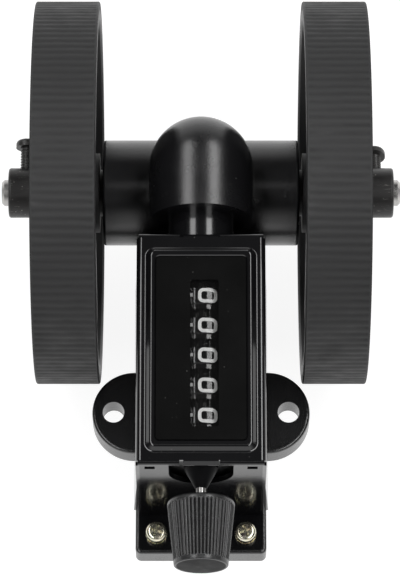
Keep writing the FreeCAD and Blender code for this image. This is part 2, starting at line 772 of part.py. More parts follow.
def ledge_screws():
    spring_z = case_z + flat_washer_thickness
    seat_z = spring_z + spring_washer_thickness
    place = Vec(ledge_screw_x, ledge_screw_y, 0)
    hole = rod_z(screw_r + screw_slack, 0, 0, case_z - overshoot, seat_z + overshoot)
    flat = rod_z(head_r + screw_slack, 0, 0, case_z, spring_z).cut(hole)
    spring = rod_z(head_r - 2 * screw_slack, 0, 0, spring_z, seat_z).cut(hole)
    # The spring washer is split where its two ends meet.
    split = block(0, 2 * head_r, -spring_washer_split / 2, spring_washer_split / 2, case_z,
                  seat_z + overshoot)
    split.rotate(Vec(0, 0, 0), Vec(0, 0, 1), split_turn)
    pieces = {"flat_washer": flat, "spring_washer": spring.cut(split),
              "ledge_screw": pan_screw(head_r, screw_tip_z, seat_z, ledge_screw_turn)}
    for name, shape in pieces.items():
        shape.translate(place)
        for side in ("left", "right"):
            sided(name, shape, side)


base_casting()
bearings()
wheels()
axle_and_gears()
input_line()
number_wheels()
inner_frame()
counter_tray()
counter_cover()
knob()
ledge_screws()
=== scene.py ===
import json
import math

import bmesh
import bpy
from mathutils import Matrix, Vector


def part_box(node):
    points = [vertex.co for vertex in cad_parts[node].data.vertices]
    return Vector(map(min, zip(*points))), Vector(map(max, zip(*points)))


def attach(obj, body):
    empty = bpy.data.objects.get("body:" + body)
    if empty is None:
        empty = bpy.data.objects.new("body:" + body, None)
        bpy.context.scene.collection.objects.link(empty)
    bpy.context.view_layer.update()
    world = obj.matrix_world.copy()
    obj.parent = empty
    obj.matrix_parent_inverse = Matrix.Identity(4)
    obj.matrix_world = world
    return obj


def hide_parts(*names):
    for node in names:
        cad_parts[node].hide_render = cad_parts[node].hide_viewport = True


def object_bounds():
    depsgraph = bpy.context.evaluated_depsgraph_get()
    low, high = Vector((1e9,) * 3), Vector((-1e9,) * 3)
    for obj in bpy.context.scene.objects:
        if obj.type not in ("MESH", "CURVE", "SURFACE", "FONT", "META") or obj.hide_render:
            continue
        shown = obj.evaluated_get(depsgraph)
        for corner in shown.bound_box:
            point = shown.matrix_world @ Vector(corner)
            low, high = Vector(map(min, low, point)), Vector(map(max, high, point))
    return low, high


# Cable length counter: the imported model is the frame, and this script gives it its looks.
# Everything is in metres: X along the axle, Y along the counter (knob at -Y), Z up.

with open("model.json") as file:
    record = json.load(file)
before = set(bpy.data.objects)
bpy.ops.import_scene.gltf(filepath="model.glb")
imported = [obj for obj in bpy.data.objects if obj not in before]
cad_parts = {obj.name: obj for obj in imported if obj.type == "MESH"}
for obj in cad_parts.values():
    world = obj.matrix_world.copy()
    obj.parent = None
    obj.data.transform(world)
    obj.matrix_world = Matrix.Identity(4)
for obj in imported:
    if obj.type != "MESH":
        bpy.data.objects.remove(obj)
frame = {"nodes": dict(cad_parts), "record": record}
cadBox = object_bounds()
nodes = frame["nodes"]
mm = 0.001
print("frame loaded:", len(nodes), "nodes")


# Places read from the frame

def boxMiddle(name):
    low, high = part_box(name)
    return (low + high) / 2


axleZ = boxMiddle("axle").z
shaftZ = boxMiddle("input_shaft").z
wheelRadius = (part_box("tread_right")[1].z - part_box("tread_right")[0].z) / 2


# Small mesh helpers

def addPiece(name, verts, faces, body, material):
    mesh = bpy.data.meshes.new(name)
    mesh.from_pydata([tuple(v) for v in verts], [], faces)
    mesh.validate()
    obj = bpy.data.objects.new(name, mesh)
    bpy.context.scene.collection.objects.link(obj)
    mesh.materials.append(material)
    fixNormals(obj)
    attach(obj, body)
    return obj


def fixNormals(obj):
    work = bmesh.new()
    work.from_mesh(obj.data)
    bmesh.ops.recalc_face_normals(work, faces=work.faces)
    work.to_mesh(obj.data)
    work.free()


def smoothByAngle(obj, degrees):
    # smooth shading with the sharp edges kept
    work = bmesh.new()
    work.from_mesh(obj.data)
    limit = math.radians(degrees)
    for face in work.faces:
        face.smooth = True
    for edge in work.edges:
        edge.smooth = edge.is_manifold and edge.calc_face_angle(0) < limit
    work.to_mesh(obj.data)
    work.free()


def turnedProfile(profile, steps, place):
    # closed profile of (along, radius) pairs, turned about a line; place puts (along, a, b) in space
    verts = []
    faces = []
    count = len(profile)
    for i in range(steps):
        angle = 2 * math.pi * i / steps
        for along, radius in profile:
            verts.append(place(along, radius * math.cos(angle), radius * math.sin(angle)))
    for i in range(steps):
        j = (i + 1) % steps
        for k in range(count):
            n = (k + 1) % count
            faces.append((i * count + k, i * count + n, j * count + n, j * count + k))
    return verts, faces


# Materials

def newMaterial(name):
    material = bpy.data.materials.new(name)
    material.use_nodes = True
    tree = material.node_tree
    shader = tree.nodes["Principled BSDF"]
    return material, tree, shader


def link(tree, a, b):
    tree.links.new(a, b)


def objectPoint(tree, scale=(1, 1, 1)):
    coords = tree.nodes.new("ShaderNodeTexCoord")
    mapping = tree.nodes.new("ShaderNodeMapping")
    mapping.inputs["Scale"].default_value = scale
    link(tree, coords.outputs["Object"], mapping.inputs["Vector"])
    return mapping.outputs["Vector"]


def noise(tree, vector, scale, detail=3.0, roughness=0.55):
    node = tree.nodes.new("ShaderNodeTexNoise")
    node.inputs["Scale"].default_value = scale
    node.inputs["Detail"].default_value = detail
    node.inputs["Roughness"].default_value = roughness
    link(tree, vector, node.inputs["Vector"])
    return node.outputs["Fac"]


def ramp(tree, value, stops):
    # colour stops: (position, colour)
    node = tree.nodes.new("ShaderNodeValToRGB")
    node.color_ramp.elements[0].position = stops[0][0]
    node.color_ramp.elements[0].color = tuple(stops[0][1]) + (1,)
    node.color_ramp.elements[1].position = stops[-1][0]
    node.color_ramp.elements[1].color = tuple(stops[-1][1]) + (1,)
    for position, colour in stops[1:-1]:
        element = node.color_ramp.elements.new(position)
        element.color = tuple(colour) + (1,)
    link(tree, value, node.inputs["Fac"])
    return node.outputs["Color"]


def spread(tree, value, low, high, fromLow=0.3, fromHigh=0.7):
    # maps a value onto low to high; a noise mostly stays between 0.3 and 0.7
    node = tree.nodes.new("ShaderNodeMapRange")
    node.inputs["From Min"].default_value = fromLow
    node.inputs["From Max"].default_value = fromHigh
    node.inputs["To Min"].default_value = low
    node.inputs["To Max"].default_value = high
    link(tree, value, node.inputs["Value"])
    return node.outputs["Result"]


def mixColours(tree, factor, a, b):
    node = tree.nodes.new("ShaderNodeMix")
    node.data_type = "RGBA"
    link(tree, factor, node.inputs["Factor"])
    for socket, colour in ((node.inputs[6], a), (node.inputs[7], b)):
        if isinstance(colour, tuple):
            socket.default_value = colour + (1,)
        else:
            link(tree, colour, socket)
    return node.outputs[2]


def combine(tree, operation, a, b, clamp=False):
    # one math node; a and b are sockets or plain numbers
    node = tree.nodes.new("ShaderNodeMath")
    node.operation = operation
    node.use_clamp = clamp
    for socket, value in zip(node.inputs, (a, b)):
        if isinstance(value, (int, float)):
            socket.default_value = value
        else:
            link(tree, value, socket)
    return node.outputs[0]


def multiply(tree, a, b):
    return combine(tree, "MULTIPLY", a, b)


def bump(tree, shader, height, distance):
    node = tree.nodes.new("ShaderNodeBump")
    node.inputs["Strength"].default_value = 1.0
    node.inputs["Distance"].default_value = distance
    link(tree, height, node.inputs["Height"])
    link(tree, node.outputs["Normal"], shader.inputs["Normal"])


def specks(tree, vector, scale, size):
    # sparse small dots, 1 inside a dot, with a soft rim
    solidShare = 0.6
    cells = tree.nodes.new("ShaderNodeTexVoronoi")
    cells.inputs["Scale"].default_value = scale
    link(tree, vector, cells.inputs["Vector"])
    return spread(tree, cells.outputs["Distance"], 1.0, 0.0, size * solidShare, size)


def distanceFromAxis(tree, across, z):
    # distance from a level axis at height z; across is the level direction at right angles to it
    split = tree.nodes.new("ShaderNodeSeparateXYZ")
    link(tree, tree.nodes.new("ShaderNodeTexCoord").outputs["Object"], split.inputs[0])
    squares = []
    for name, value in ((across, 0.0), ("Z", z)):
        offset = combine(tree, "SUBTRACT", split.outputs[name], value)
        squares.append(multiply(tree, offset, offset))
    return combine(tree, "SQRT", combine(tree, "ADD", *squares), 0.0)


enamel = {
    "colour": (0.004, 0.004, 0.0045),
    "lighter": 1.7,    # colour in the hazy patches
    "patchScale": 60,
    "duller": (0.9, 1.25),    # roughness from patch to patch
    "speckColour": (0.16, 0.16, 0.15),
    "speckScale": 420,
    "speckSize": 0.10,
    "groupScale": 150,    # the specks lie in loose groups
    "groupRange": (0.5, 0.75),
    "coatRoughness": 0.05,
}


def paint(name, colour, roughness, peel, peelScale, dust, specular=0.8, coat=0.0):
    # black enamel: orange peel, faint patches of haze and a few specks of dust
    material, tree, shader = newMaterial(name)
    point = objectPoint(tree)
    patches = noise(tree, point, enamel["patchScale"], 4)
    dots = specks(tree, point, enamel["speckScale"], enamel["speckSize"])
    groups = noise(tree, point, enamel["groupScale"], 2)
    dotMask = multiply(tree, dots, spread(tree, groups, 0.0, dust, *enamel["groupRange"]))
    base = mixColours(tree, patches, colour, tuple(c * enamel["lighter"] for c in colour))
    link(tree, mixColours(tree, dotMask, base, enamel["speckColour"]), shader.inputs["Base Color"])
    smooth, dull = [roughness * share for share in enamel["duller"]]
    link(tree, spread(tree, patches, smooth, dull), shader.inputs["Roughness"])
    shader.inputs["Specular IOR Level"].default_value = specular
    shader.inputs["Coat Weight"].default_value = coat
    shader.inputs["Coat Roughness"].default_value = enamel["coatRoughness"]
    bump(tree, shader, noise(tree, point, peelScale, 2), peel)
    return material


plastic = {
    "cloudScale": 90,
    "duller": (0.9, 1.15),    # roughness from cloud to cloud
}


def mattePlastic(name, colour, roughness, grainScale, grainDepth, lighter=1.5, specular=0.5):
    material, tree, shader = newMaterial(name)
    shader.inputs["Specular IOR Level"].default_value = specular
    point = objectPoint(tree)
    cloud = noise(tree, point, plastic["cloudScale"], 4)
    light = tuple(c * lighter for c in colour)
    link(tree, mixColours(tree, cloud, colour, light), shader.inputs["Base Color"])
    smooth, dull = [roughness * share for share in plastic["duller"]]
    link(tree, spread(tree, cloud, smooth, dull), shader.inputs["Roughness"])
    bump(tree, shader, noise(tree, point, grainScale, 3), grainDepth)
    return material


turned = {
    "cloudScale": 160,
    "darker": 0.85,
    "duller": (0.7, 1.4),    # roughness from mark to mark
    "markDepth": 0.02 * mm,
}


def turnedMetal(name, colour, roughness, stretch):
    # fine turning marks: noise squeezed along the axis it was turned about
    material, tree, shader = newMaterial(name)
    marks = noise(tree, objectPoint(tree, stretch), 1.0, 4)
    cloud = noise(tree, objectPoint(tree), turned["cloudScale"], 3)
    dark = tuple(c * turned["darker"] for c in colour)
    link(tree, mixColours(tree, cloud, dark, colour), shader.inputs["Base Color"])
    shader.inputs["Metallic"].default_value = 1.0
    smooth, dull = [roughness * share for share in turned["duller"]]
    link(tree, spread(tree, marks, smooth, dull), shader.inputs["Roughness"])
    bump(tree, shader, marks, turned["markDepth"])
    return material


tread = {
    "ribs": 143,
    "depth": 0.16 * mm,
    "lip": 0.5 * mm,
    "bevel": 0.25 * mm,
    "samplesPerRib": 8,
    "smoothBelow": 35,    # degrees
    "top": (0.018, 0.018, 0.0185),
    "scuff": (0.028, 0.029, 0.029),
    # painted shade: the colour at the bottom of the grooves
    "groove": (0.012, 0.012, 0.0125),
    "scuffScale": 240,
    "scuffStretch": (0.6, 1, 1),
    "scuffRange": (0.42, 0.72),
    "roughness": (0.50, 0.72),
    "grainScale": 1500,
    "grainDepth": 0.05 * mm,
}


def treadRubber():
    # rib tops are scuffed and paler; the grooves between them carry painted shade, darker the deeper they
    # lie
    material, tree, shader = newMaterial("treadRubber")
    scuffs = noise(tree, objectPoint(tree, tread["scuffStretch"]), tread["scuffScale"], 5, 0.65)
    worn = spread(tree, scuffs, 0.0, 1.0, *tread["scuffRange"])
    tops = mixColours(tree, worn, tread["top"], tread["scuff"])
    # painted shade in the grooves, taken from the distance to the axle
    radius = distanceFromAxis(tree, "Y", axleZ)
    paintedGrooveShade = spread(tree, radius, 1.0, 0.0, wheelRadius - tread["depth"], wheelRadius)
    link(tree, mixColours(tree, paintedGrooveShade, tops, tread["groove"]), shader.inputs["Base Color"])
    link(tree, spread(tree, scuffs, *tread["roughness"]), shader.inputs["Roughness"])
    bump(tree, shader, noise(tree, objectPoint(tree), tread["grainScale"], 3), tread["grainDepth"])
    return material


oxide = {
    "black": (0.006, 0.006, 0.006),
    "brown": (0.016, 0.014, 0.013),
    "bare": (0.30, 0.29, 0.27),
    "hazeScale": 220,
    "scratchStretch": (300, 1800, 1800),
    "scratchRange": (0.62, 0.76),
    "scratchShare": 0.9,
    "scratchDepth": 0.03 * mm,
    "nickScale": 700,
    "nickSize": 0.16,
    "nickGroups": 260,
    "nickShare": 0.8,
    "roughness": (0.30, 0.45),
}


def oxideSteel():
    # black oxide with brown haze, and bare steel showing through scratches
    material, tree, shader = newMaterial("oxideSteel")
    point = objectPoint(tree)
    haze = noise(tree, point, oxide["hazeScale"], 5)
    base = mixColours(tree, haze, oxide["black"], oxide["brown"])
    scratch = noise(tree, objectPoint(tree, oxide["scratchStretch"]), 1.0, 4, 0.7)
    lines = spread(tree, scratch, 0.0, oxide["scratchShare"], *oxide["scratchRange"])
    groups = spread(tree, noise(tree, point, oxide["nickGroups"], 2), 0.0, oxide["nickShare"])
    nicks = multiply(tree, specks(tree, point, oxide["nickScale"], oxide["nickSize"]), groups)
    worn = combine(tree, "ADD", lines, nicks, clamp=True)
    link(tree, mixColours(tree, worn, base, oxide["bare"]), shader.inputs["Base Color"])
    link(tree, worn, shader.inputs["Metallic"])
    link(tree, spread(tree, haze, *oxide["roughness"]), shader.inputs["Roughness"])
    bump(tree, shader, scratch, oxide["scratchDepth"])
    return material


zinc = {
    "stops": [(0.30, (0.68, 0.60, 0.48)), (0.45, (0.84, 0.79, 0.62)),
              (0.58, (0.74, 0.75, 0.60)), (0.72, (0.80, 0.70, 0.64))],
    "driftScale": 420,
    "blurScale": 900,
    "roughness": (0.16, 0.32),
    "grainScale": 1600,
    "grainDepth": 0.02 * mm,
}


def yellowZinc():
    # zinc plating with a yellow passivation that drifts to pink and green
    material, tree, shader = newMaterial("yellowZinc")
    point = objectPoint(tree)
    colour = ramp(tree, noise(tree, point, zinc["driftScale"], 2), zinc["stops"])
    link(tree, colour, shader.inputs["Base Color"])
    shader.inputs["Metallic"].default_value = 1.0
    blur = noise(tree, point, zinc["blurScale"], 3)
    link(tree, spread(tree, blur, *zinc["roughness"]), shader.inputs["Roughness"])
    bump(tree, shader, noise(tree, point, zinc["grainScale"], 3), zinc["grainDepth"])
    return material


strip = {
    "colour": (0.02, 0.02, 0.02, 1),
    "alpha": 0.12,
    "hazeScale": 300,
    "roughness": (0.03, 0.10),
}


def clearStrip():
    material, tree, shader = newMaterial("clearStrip")
    shader.inputs["Base Color"].default_value = strip["colour"]
    shader.inputs["Alpha"].default_value = strip["alpha"]
    haze = noise(tree, objectPoint(tree), strip["hazeScale"], 3)
    link(tree, spread(tree, haze, *strip["roughness"]), shader.inputs["Roughness"])
    return material


knob = {
    "ribs": 48,
    "samplesPerRib": 10,
    "ribDepth": 0.45 * mm,
    "endRadius": 7.2 * mm,
    "backReach": 1.3 * mm,    # how far the back stands out towards the bush
    "backRound": 1.2 * mm,
    "endRound": 0.35 * mm,
    "roundSteps": 6,
    "ribsFromBack": 1.25 * mm,
    "ribsFromEnd": 1.0 * mm,
    "fade": 0.7 * mm,    # length over which the ribs rise and sink
    "fadeSteps": 6,
    "holeSteps": 32,
    "holeOvershoot": 1 * mm,
    "smoothBelow": 50,    # degrees
    # painted shade in the rib valleys, and a painted highlight on the crests
    "valleyShade": (0.003, 0.003, 0.0035),
    "crestHighlight": (0.044, 0.0445, 0.045),
    "faceMargin": (-0.75 * mm, -0.47 * mm),    # depth below the outline at which the plain faces start
    "cloudScale": 300,
    # how strong the painted highlight on the crests is, from cloud to cloud
    "highlightShare": (0.6, 1.0),
    "roughness": (0.20, 0.30),
    "faceRougher": 0.2,
    "specular": 0.5,
    "faceSpecular": 0.06,
    "grainScale": 1400,
    "grainDepth": 0.003 * mm,
}
knobLow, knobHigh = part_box("reset_knob")


def knobPlastic():
    # moulded plastic with a painted highlight on the crests of the ribs and painted shade in their valleys,
    # varied by a cloud; the ribs follow the knob's taper
    material, tree, shader = newMaterial("knobPlastic")
    point = objectPoint(tree)
    split = tree.nodes.new("ShaderNodeSeparateXYZ")
    link(tree, point, split.inputs[0])
    backRadius = (knobHigh.z - knobLow.z) / 2
    outline = spread(tree, split.outputs["Y"], knob["endRadius"], backRadius, knobLow.y, knobHigh.y)
    height = combine(tree, "SUBTRACT", distanceFromAxis(tree, "X", shaftZ), outline)
    # painted highlight on the crests and painted shade in the valleys, by height above the knob's outline
    crestHighlight = spread(tree, height, 0.0, 1.0, -knob["ribDepth"], 0.0)
    cloud = noise(tree, point, knob["cloudScale"], 4)
    highlightShare = multiply(tree, crestHighlight, spread(tree, cloud, *knob["highlightShare"]))
    link(tree, mixColours(tree, highlightShare, knob["valleyShade"], knob["crestHighlight"]), shader.inputs["Base Color"])
    face = spread(tree, height, 1.0, 0.0, *knob["faceMargin"])
    sides = spread(tree, cloud, *knob["roughness"])
    rougher = multiply(tree, face, knob["faceRougher"])
    link(tree, combine(tree, "ADD", sides, rougher, clamp=True), shader.inputs["Roughness"])
    shine = spread(tree, face, knob["specular"], knob["faceSpecular"], 0.0, 1.0)
    link(tree, shine, shader.inputs["Specular IOR Level"])
    bump(tree, shader, noise(tree, point, knob["grainScale"], 3), knob["grainDepth"])
    return material


black = enamel["colour"]
finishes = {
    "casting_paint": paint("castingPaint", black, roughness=0.23, peel=0.045 * mm, peelScale=2400, dust=0.5),
    "case_paint": paint("casePaint", black, roughness=0.12, peel=0.02 * mm, peelScale=200, dust=0.6,
                        specular=0.8, coat=0.3),
    "label_black": paint("labelFilm", (0.003, 0.003, 0.003), roughness=0.16, peel=0.002 * mm,
                         peelScale=1500, dust=0.5, specular=0.5),
    "lens_clear": clearStrip(),
    "bearing_bronze": turnedMetal("bearingBronze", (0.56, 0.40, 0.22), roughness=0.35,
                                  stretch=(900, 60, 60)),
    "bright_steel": turnedMetal("brightSteel", (0.48, 0.47, 0.46), roughness=0.28,
                                stretch=(900, 90, 90)),
    "hub_steel": oxideSteel(),
    "screw_black": mattePlastic("screwBlack", (0.030, 0.029, 0.028), roughness=0.35, grainScale=900,
                                grainDepth=0.02 * mm),
    "wheel_plastic": mattePlastic("wheelPlastic", (0.010, 0.010, 0.0105), roughness=0.42,
                                  grainScale=700, grainDepth=0.04 * mm),
    "tread_rubber": treadRubber(),
    "gear_brass": turnedMetal("gearBrass", (0.70, 0.55, 0.26), roughness=0.30, stretch=(200, 200, 200)),
    "number_plastic": mattePlastic("numberPlastic", (0.004, 0.004, 0.004), roughness=0.08,
                                   grainScale=900, grainDepth=0.005 * mm, specular=1.0),
    "pinion_plastic": mattePlastic("pinionPlastic", (0.70, 0.69, 0.65), roughness=0.45, grainScale=900,
                                   grainDepth=0.02 * mm, lighter=1.1),
    "frame_black": paint("frameBlack", (0.010, 0.010, 0.0105), roughness=0.30, peel=0.03 * mm,
                         peelScale=300, dust=0.4, specular=0.3),
    "knob_plastic": knobPlastic(),
    "screw_zinc": yellowZinc(),
}
figureInk = mattePlastic("figureInk", (0.80, 0.80, 0.79), roughness=0.45, grainScale=1500,
                         grainDepth=0.01 * mm, lighter=1.08)
neckPaint = paint("neckPaint", black, roughness=0.14, peel=0.01 * mm, peelScale=300, dust=0.5)
trayPaint = paint("trayPaint", black, roughness=0.11, peel=0.01 * mm, peelScale=300, dust=0.6, specular=0.5)
conePaint = paint("conePaint", (0.006, 0.006, 0.0065), roughness=0.34, peel=0.02 * mm, peelScale=600,
                  dust=0.4, specular=0.05)

slotOfNode = {s["node"]: s["material_slot"] for s in frame["record"]["subparts"]}
# pieces that differ from the rest of their slot: a turned neck, a duller tray, and washers given the dark
# finish of the screws
special = {"neck_sleeve": neckPaint, "counter_tray": trayPaint}
for side in ("left", "right"):
    special["thrust_washer_" + side] = finishes["screw_black"]
for name, obj in nodes.items():
    obj.data.materials.clear()
    obj.data.materials.append(special.get(name, finishes[slotOfNode[name]]))
print("materials:", len(bpy.data.materials))


# Treads: shallow soft ribs between two plain lips

def addTread(side):
    low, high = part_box("tread_" + side)
    outer = (high.z - low.z) / 2
    wheelLow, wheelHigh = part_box("wheel_" + side)
    inner = (wheelHigh.z - wheelLow.z) / 2
    lip, bevel = tread["lip"], tread["bevel"]
    # one side of the section: distance from the edge, radius, share of the rib's depth
    half = [(0, inner, 0), (0, outer - bevel, 0), (bevel, outer, 0), (lip, outer, 0),
            (lip + bevel, outer, 1)]
    section = [(low.x + x, r, share) for x, r, share in half]
    section += [(high.x - x, r, share) for x, r, share in reversed(half)]
    steps = tread["ribs"] * tread["samplesPerRib"]
    verts = []
    faces = []
    count = len(section)
    for i in range(steps):
        angle = 2 * math.pi * i / steps
        groove = tread["depth"] * (1 - math.cos(tread["ribs"] * angle)) / 2
        for x, r, share in section:
            r -= groove * share
            verts.append((x, r * math.cos(angle), axleZ + r * math.sin(angle)))
    for i in range(steps):
        j = (i + 1) % steps
        for k in range(count):
            n = (k + 1) % count
            faces.append((i * count + k, i * count + n, j * count + n, j * count + k))
    rubber = finishes["tread_rubber"]
    obj = addPiece("ribbed_tread_" + side, verts, faces, "axle", rubber)
    smoothByAngle(obj, tread["smoothBelow"])
    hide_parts("tread_" + side)


for side in ("left", "right"):
    addTread(side)
print("treads done")


# Threads on the collars' set screws

thread = {
    "pitch": 0.8 * mm,
    "depth": 0.30 * mm,
    "samplesPerTurn": 24,
    "samplesPerPitch": 6,
    "reach": 6.6 * mm,    # length of the thread that shows, with its ends inside head and collar
    "rootSunk": 0.02 * mm,    # how far the thread's root lies inside the shank
    "startInCollar": 0.3 * mm,
    "searchReach": 3 * mm,    # part of the screw in which the shank is measured
    "shankLeast": 1.5 * mm,
    "tipZone": 0.5 * mm,
    "smoothBelow": 50,    # degrees
}


def addThread(side):
    # a helical ridge on the bare shank between the collar and the screw's head
    name = "hub_screw_" + side
    axle = Vector((boxMiddle(name).x, 0, axleZ))
    points = [v.co - axle for v in nodes[name].data.vertices]
    far = max(p.length for p in points)
    tip = sum((p for p in points if p.length > far - thread["tipZone"]), Vector())
    out = Vector((0, tip.y, tip.z)).normalized()
    across = Vector((1, 0, 0))
    third = out.cross(across)
    hubLow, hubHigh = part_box("hub_" + side)
    start = (hubHigh.z - hubLow.z) / 2 - thread["startInCollar"]
    near = [p for p in points if abs(p.dot(out) - start) < thread["searchReach"]]
    shank = max(thread["shankLeast"], min(math.hypot(p.x, p.dot(third)) for p in near))
    rings = int(thread["reach"] / thread["pitch"] * thread["samplesPerPitch"])
    around = thread["samplesPerTurn"]
    verts = []
    for i in range(rings + 1):
        along = thread["reach"] * i / rings
        for k in range(around):
            angle = 2 * math.pi * k / around
            phase = (along / thread["pitch"] + k / around) % 1
            r = shank + thread["depth"] * (1 - abs(2 * phase - 1)) - thread["rootSunk"]
            sideways = across * math.cos(angle) + third * math.sin(angle)
            verts.append(axle + out * (start + along) + sideways * r)
    faces = []
    for i in range(rings):
        for k in range(around):
            n = (k + 1) % around
            faces.append((i * around + k, i * around + n, (i + 1) * around + n, (i + 1) * around + k))
    faces.append(tuple(range(around)))
    faces.append(tuple(range(rings * around, (rings + 1) * around)))
    obj = addPiece("thread_" + side, verts, faces, "axle", finishes["screw_black"])
    smoothByAngle(obj, thread["smoothBelow"])


for side in ("left", "right"):
    addThread(side)
print("threads done")


# The conical bush in the notch

bush = {
    "tipRadius": 1.65 * mm,
    "mouthRadius": 4.6 * mm,
    "coneLength": 5.4 * mm,
    "edge": 0.15 * mm,
    "steps": 64,
    "smoothBelow": 40,    # degrees
}


def addBush():
    low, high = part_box("reset_bush")
    shaftLow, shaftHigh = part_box("reset_shaft")
    bore = (shaftHigh.z - shaftLow.z) / 2
    tip, mouth = bush["tipRadius"], bush["mouthRadius"]
    mouthY = low.y + bush["coneLength"]
    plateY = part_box("frame_plate_front")[0].y
    edge = bush["edge"]
    profile = [(low.y, bore), (low.y, tip - edge), (low.y + edge, tip), (mouthY - edge, mouth - edge),
               (mouthY, mouth), (mouthY + edge, mouth), (plateY, mouth), (plateY, bore), (high.y, bore),
               (high.y, bore - edge), (low.y, bore - edge)]
    verts, faces = turnedProfile(profile, bush["steps"], lambda y, a, b: (a, y, shaftZ + b))
    obj = addPiece("cone_bush", verts, faces, "housing", conePaint)
    smoothByAngle(obj, bush["smoothBelow"])
    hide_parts("reset_bush")


addBush()
print("bush done")


# Reset knob: rounded shoulder, ribs that rise and sink, and a plain round-edged end

def roundedEdge(edge, inward, radius, outline):
    # rings of a quarter round between a flat face at edge and the outline; inward is 1 or -1 along the knob
    rings = []
    for step in range(knob["roundSteps"] + 1):
        angle = math.pi / 2 * step / knob["roundSteps"]
        u = edge + inward * radius * (1 - math.sin(angle))
        rings.append((u, outline(u) - radius * (1 - math.cos(angle)), 0))
    return sorted(rings)


def knobRings():
    # rings from the bore's bottom over the back face to the end: distance from the back, radius, rib share
    length = knobHigh.y - knobLow.y
    backRadius = (knobHigh.z - knobLow.z) / 2
    shaftLow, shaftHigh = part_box("reset_shaft")
    bore = (shaftHigh.z - shaftLow.z) / 2

    def outer(u):
        return backRadius + (knob["endRadius"] - backRadius) * u / length

    back = -knob["backReach"]
    rings = [(knobHigh.y - shaftLow.y, bore, 0), (back, bore, 0)]
    rings += roundedEdge(back, 1, knob["backRound"], outer)
    ribStart = back + knob["ribsFromBack"]
    ribEnd = length - knob["ribsFromEnd"]
    fade = knob["fade"]
    steps = knob["fadeSteps"]
    rise = [(fade * k / steps, (1 - math.cos(math.pi * k / steps)) / 2) for k in range(steps + 1)]
    rings += [(ribStart + u, outer(ribStart + u), share) for u, share in rise]
    rings += [(ribEnd - u, outer(ribEnd - u), share) for u, share in reversed(rise)]
    return rings + roundedEdge(length, -1, knob["endRound"], outer)


def cutHole(obj, name):
    # the cross hole that a small screw sits in, cut from below
    low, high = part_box(name)
    middle = (low + high) / 2
    radius = (high.x - low.x) / 2
    around = knob["holeSteps"]
    verts = []
    for z in (middle.z, knobLow.z - knob["holeOvershoot"]):
        for k in range(around):
            angle = 2 * math.pi * k / around
            verts.append((middle.x + radius * math.cos(angle), middle.y + radius * math.sin(angle), z))
    faces = [tuple(range(around)), tuple(range(around, 2 * around))]
    faces += [(k, (k + 1) % around, around + (k + 1) % around, around + k) for k in range(around)]
    mesh = bpy.data.meshes.new("hole")
    mesh.from_pydata(verts, [], faces)
    cutter = bpy.data.objects.new("hole", mesh)
    bpy.context.scene.collection.objects.link(cutter)
    fixNormals(cutter)
    cut = obj.modifiers.new("hole", "BOOLEAN")
    cut.operation = "DIFFERENCE"
    cut.object = cutter
    bpy.context.view_layer.update()
    result = bpy.data.meshes.new_from_object(obj.evaluated_get(bpy.context.evaluated_depsgraph_get()))
    obj.modifiers.clear()
    obj.data = result
    bpy.data.objects.remove(cutter)


def addKnob():
    around = knob["ribs"] * knob["samplesPerRib"]
    rings = knobRings()
    verts = []
    for u, radius, share in rings:
        for k in range(around):
            angle = 2 * math.pi * k / around
            groove = knob["ribDepth"] * share * (1 - abs(math.cos(knob["ribs"] * angle / 2)))
            r = radius - groove
            verts.append((r * math.cos(angle), knobHigh.y - u, shaftZ + r * math.sin(angle)))
    faces = []
    for i in range(len(rings) - 1):
        for k in range(around):
            n = (k + 1) % around
            faces.append((i * around + k, i * around + n, (i + 1) * around + n, (i + 1) * around + k))
    faces.append(tuple(range(around)))
    faces.append(tuple(range((len(rings) - 1) * around, len(rings) * around)))
    obj = addPiece("ribbed_knob", verts, faces, "reset", finishes["knob_plastic"])
    cutHole(obj, "knob_screw")
    smoothByAngle(obj, knob["smoothBelow"])
    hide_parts("reset_knob")


addKnob()
print("knob done")


# Figures on the number wheels: flat strokes laid round the drum

figures = {
    "wheels": 5,
    "perWheel": 10,
    "height": 5.3 * mm,    # round the drum
    "width": 4.1 * mm,    # along the drum
    "stroke": 0.92 * mm,
    "proud": 0.05 * mm,
    "turn": math.radians(11.2),    # how far the shown figure stands from the top, towards +X
    "sink": 0.05 * mm,    # how deep a stroke's edge reaches into the drum
    "arcSteps": 8,    # in a quarter turn
    "longestStep": 0.45 * mm,    # along a stroke, so that it follows the drum
    "cornerShare": 0.66,    # corner radius of the 0 as a share of its half width
    "leastMitre": 0.5,
    "rimTolerance": 0.01 * mm,
}
nearZero = 1e-9


def arcPoints(cx, cy, rx, ry, start, end):
    points = []
    steps = max(2, int(abs(end - start) / 90 * figures["arcSteps"]))
    for i in range(steps + 1):
        a = math.radians(start + (end - start) * i / steps)
        points.append((cx + rx * math.cos(a), cy + ry * math.sin(a)))
    return points


def roundedLoop(w, h, r):
    # a closed loop, wide along the drum and rounded at its corners
    points = []
    for cx, cy, start in ((w - r, h - r, 0), (r - w, h - r, 90), (r - w, r - h, 180), (w - r, r - h, 270)):
        points += arcPoints(cx, cy, r, r, start, start + 90)
    return points


